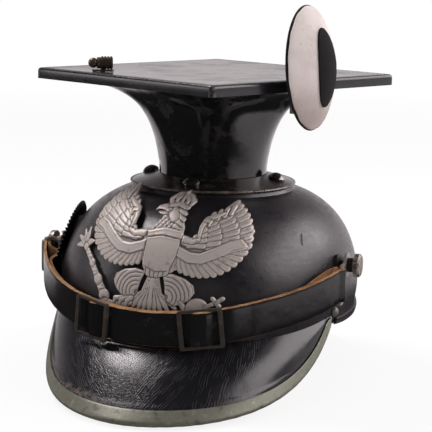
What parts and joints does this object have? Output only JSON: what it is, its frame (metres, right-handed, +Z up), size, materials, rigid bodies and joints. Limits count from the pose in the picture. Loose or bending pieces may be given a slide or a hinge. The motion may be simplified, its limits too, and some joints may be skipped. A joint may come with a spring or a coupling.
{
  "type": "lancer cap",
  "caption": "Leather lancer's cap with peak, neck guard, eagle plate, cockade, chinstrap, a square top that turns and a badge that lifts out.",
  "frame": {"origin": "centre of the head opening, in the plane of the skull's rim", "axes": "+Z up through the crown, -Y to the wearer's front, +X to the wearer's left"},
  "size_m": [0.2348, 0.3002, 0.2571],
  "materials": {
    "skull_leather": "worn satin black",
    "peak_leather": "crackled black",
    "strap_leather": "black with tan edges",
    "lacquer": "glossy black lacquer",
    "board_leather": "worn grey-black",
    "collar_metal": "worn brownish black",
    "cockade_metal": "dull black",
    "plate_metal": "matt light grey",
    "trim_metal": "matt olive grey",
    "fitting_metal": "dull grey",
    "dark_metal": "dark oxidised",
    "lining_leather": "plain tan",
    "felt": "off-white felt",
    "pressed_board": "brown pressed board"
  },
  "bodies": {
    "helmet": {"skull": "skull_leather", "front_peak": "peak_leather", "peak_trim": "trim_metal", "trim_end_studs": "trim_metal", "neck_guard": "peak_leather", "collar_plate": "collar_metal", "collar_studs": "cockade_metal", "stud_nuts": "dark_metal", "crown_ring": "fitting_metal", "eagle_plate": "plate_metal", "eagle_nuts": "dark_metal", "side_post_left": "fitting_metal", "side_post_right": "fitting_metal", "post_washers": "dark_metal", "post_nuts": "dark_metal", "cockade": "cockade_metal", "sweatband": "lining_leather", "lining_tongues": "lining_leather"},
    "top": {"neck": "lacquer", "turn_ring": "fitting_metal", "bayonet_pins": "dark_metal", "board_core": "pressed_board", "board_cover": "board_leather", "board_underside": "lacquer", "badge_socket": "fitting_metal", "hook_plate": "dark_metal", "cap_line_hook": "fitting_metal", "hook_nut": "dark_metal"},
    "badge": {"badge_back": "cockade_metal", "badge_felt": "felt", "badge_centre": "cockade_metal", "badge_prong": "fitting_metal"},
    "chinstrap": {"strap_left": "strap_leather", "strap_right": "strap_leather", "buckle_left": "trim_metal", "buckle_right": "trim_metal", "lug_left": "plate_metal", "lug_right": "plate_metal"}
  },
  "joints": [
    {"name": "top_turn", "type": "hinge", "parent": "helmet", "child": "top", "pos_m": [0, 0, 0.0997], "axis": [0, 0, 1], "range_deg": [-17.24, 27.76]},
    {"name": "badge_lift", "type": "slide", "parent": "top", "child": "badge", "axis": [0, 0, 1], "range_m": [0, 0.02]},
    {"name": "chinstrap_swing", "type": "hinge", "parent": "helmet", "child": "chinstrap", "pos_m": [0, -0.0233, 0.04], "axis": [-1, 0, 0], "range_deg": [0, 60]}
  ]
}
